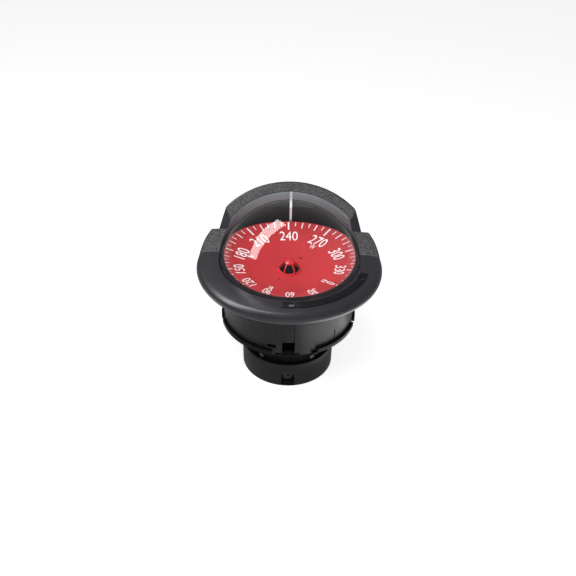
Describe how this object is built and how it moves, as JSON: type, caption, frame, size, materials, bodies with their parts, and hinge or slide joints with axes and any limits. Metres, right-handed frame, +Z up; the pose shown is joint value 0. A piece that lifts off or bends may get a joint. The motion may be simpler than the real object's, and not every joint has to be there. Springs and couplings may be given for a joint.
{
  "type": "marine compass",
  "caption": "Flush-mounted marine compass: liquid-filled clear dome over a gimballed red card, black flange ring with a sighting hood, canister and lower cup below.",
  "frame": {"origin": "middle of the underside of the lower cup", "axes": "+Z up along the compass axis, +Y towards the bow where the hood stands, +X to starboard; the helmsman looks from -Y"},
  "size_m": [0.184, 0.184, 0.183],
  "materials": {
    "satin_black": "satin moulded plastic",
    "grained_black": "coarse leather grain on the upper faces",
    "gloss_black": "smooth",
    "deep_black": "matt",
    "white_line": "painted white",
    "clear_dome": "clear acrylic",
    "black_rubber": "matt",
    "red_lamp": "translucent red",
    "screw_steel": "bright",
    "alloy": "machined",
    "brass": "turned",
    "gland_grey": "moulded",
    "card_red": "satin red paint",
    "jewel_red": "polished",
    "magnet_grey": "bare"
  },
  "bodies": {
    "housing": {"bezel_ring": "satin_black", "hood": "grained_black", "hood_line": "white_line", "hood_screws": "screw_steel", "label_plate": "gloss_black", "dome": "clear_dome", "dome_gasket": "black_rubber", "bowl": "deep_black", "lubber_line": "white_line", "night_lamp": "red_lamp", "gimbal_stand": "deep_black", "stand_screws": "screw_steel", "diaphragm": "black_rubber", "diaphragm_clamp": "alloy", "clamp_screws": "screw_steel", "filler_plug": "brass", "canister": "satin_black", "canister_screws": "screw_steel", "clamp_ring": "gloss_black", "neck": "deep_black", "neck_screws": "screw_steel", "lower_cup": "satin_black", "cup_screws": "screw_steel", "cable_gland": "gland_grey"},
    "gimbal": {"gimbal_ring": "alloy", "gimbal_pins": "screw_steel"},
    "cradle": {"cradle": "deep_black", "cradle_pins": "screw_steel", "counterweight": "brass", "pivot": "screw_steel"},
    "card": {"card_disc": "card_red", "card_hub": "card_red", "jewel_holder": "deep_black", "jewel": "jewel_red", "card_float": "deep_black", "card_magnets": "magnet_grey"},
    "compensator_a": {"comp_screw_a": "screw_steel", "comp_magnet_a": "magnet_grey"},
    "compensator_b": {"comp_screw_b": "screw_steel", "comp_magnet_b": "magnet_grey"}
  },
  "joints": [
    {"name": "gimbal_pitch", "type": "hinge", "parent": "housing", "child": "gimbal", "pos_m": [0, 0, 0.095], "axis": [1, 0, 0], "range_deg": [-30, 30]},
    {"name": "cradle_roll", "type": "hinge", "parent": "gimbal", "child": "cradle", "pos_m": [0, 0, 0.095], "axis": [0, 1, 0], "range_deg": [-30, 30]},
    {"name": "card_turn", "type": "hinge", "parent": "cradle", "child": "card", "pos_m": [0, 0, 0.113], "axis": [0, 0, 1], "continuous": true},
    {"name": "compensator_a_turn", "type": "hinge", "parent": "housing", "child": "compensator_a", "pos_m": [0.00265, -0.07595, 0.125], "axis": [0, 0, 1], "continuous": true},
    {"name": "compensator_b_turn", "type": "hinge", "parent": "housing", "child": "compensator_b", "pos_m": [0.06943, -0.03091, 0.125], "axis": [0, 0, 1], "continuous": true}
  ]
}
